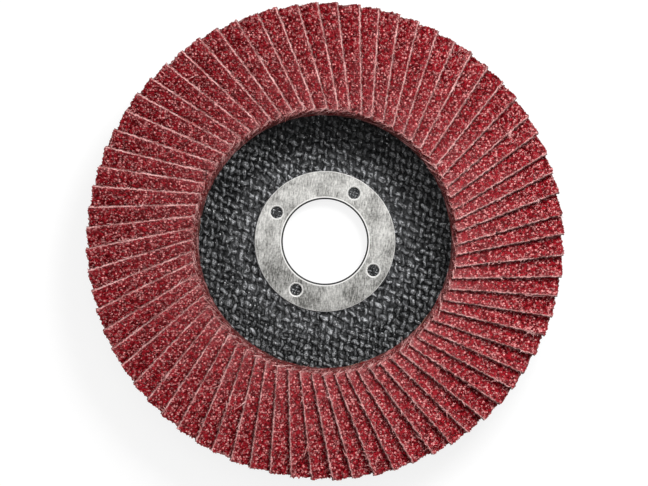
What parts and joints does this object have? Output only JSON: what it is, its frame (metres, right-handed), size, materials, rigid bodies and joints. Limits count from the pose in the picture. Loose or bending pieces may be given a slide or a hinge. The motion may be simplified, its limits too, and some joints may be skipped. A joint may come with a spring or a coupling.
{
  "type": "flap disc",
  "caption": "Round abrasive flap disc for an angle grinder: leaning strips of abrasive cloth bonded in a ring on a dished fibre plate with a steel-lined bore.",
  "frame": {"origin": "on the bore's axis, at the backing plate's flat back face, which is also the lowest face", "axes": "+Z along the bore, out of the working face; +X and +Y are to the right and up in the picture, which looks along -Z"},
  "size_m": [0.125, 0.125, 0.016],
  "materials": {
    "glass_laminate": "pressed black woven glass-fibre laminate, resin-gloss",
    "plated_steel": "zinc-plated pressed sheet with a straight brushed grain",
    "bond_resin": "set brown bonding resin, dusty",
    "abrasive_cloth": "resin-coated cloth with coarse dark red grain, pale frayed cut edges"
  },
  "bodies": {
    "root": {"backing_plate": "glass_laminate", "bore_ring": "plated_steel", "resin_bed": "bond_resin", "flap_pair_01": "abrasive_cloth", "flap_pair_02": "abrasive_cloth", "flap_pair_03": "abrasive_cloth", "flap_pair_04": "abrasive_cloth", "flap_pair_05": "abrasive_cloth", "flap_pair_06": "abrasive_cloth", "flap_pair_07": "abrasive_cloth", "flap_pair_08": "abrasive_cloth", "flap_pair_09": "abrasive_cloth", "flap_pair_10": "abrasive_cloth", "flap_pair_11": "abrasive_cloth", "flap_pair_12": "abrasive_cloth", "flap_pair_13": "abrasive_cloth", "flap_pair_14": "abrasive_cloth", "flap_pair_15": "abrasive_cloth", "flap_pair_16": "abrasive_cloth", "flap_pair_17": "abrasive_cloth", "flap_pair_18": "abrasive_cloth", "flap_pair_19": "abrasive_cloth", "flap_pair_20": "abrasive_cloth", "flap_pair_21": "abrasive_cloth", "flap_pair_22": "abrasive_cloth", "flap_pair_23": "abrasive_cloth", "flap_pair_24": "abrasive_cloth", "flap_pair_25": "abrasive_cloth", "flap_pair_26": "abrasive_cloth", "flap_pair_27": "abrasive_cloth", "flap_pair_28": "abrasive_cloth", "flap_pair_29": "abrasive_cloth", "flap_pair_30": "abrasive_cloth", "flap_pair_31": "abrasive_cloth", "flap_pair_32": "abrasive_cloth", "flap_pair_33": "abrasive_cloth", "flap_pair_34": "abrasive_cloth", "flap_pair_35": "abrasive_cloth", "flap_pair_36": "abrasive_cloth"}
  },
  "joints": []
}
